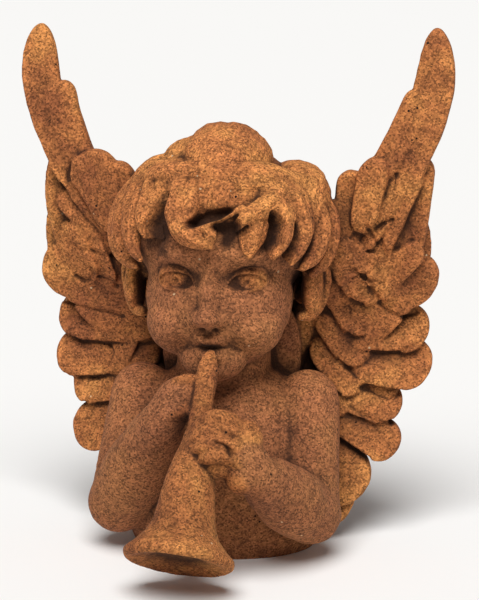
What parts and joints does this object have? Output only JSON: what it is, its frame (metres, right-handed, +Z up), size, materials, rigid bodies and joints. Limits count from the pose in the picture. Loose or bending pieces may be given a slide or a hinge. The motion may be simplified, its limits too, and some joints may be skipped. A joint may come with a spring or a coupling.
{
  "type": "angel bust figurine",
  "caption": "Winged child angel bust blowing a trumpet held in both hands, cast in one piece with a flat base.",
  "frame": {"origin": "on the ground plane, in the middle of the torso, inside the flat underside", "axes": "+Z up, +X towards the figure's left hand, -Y the way the figure faces and the trumpet points"},
  "size_m": [0.1557, 0.1257, 0.1832],
  "materials": {
    "rusty_cast_stone": "cast mineral stone with a dull, speckled brown orange rust finish"
  },
  "bodies": {
    "root": {"angel_bust": "rusty_cast_stone"}
  },
  "joints": []
}
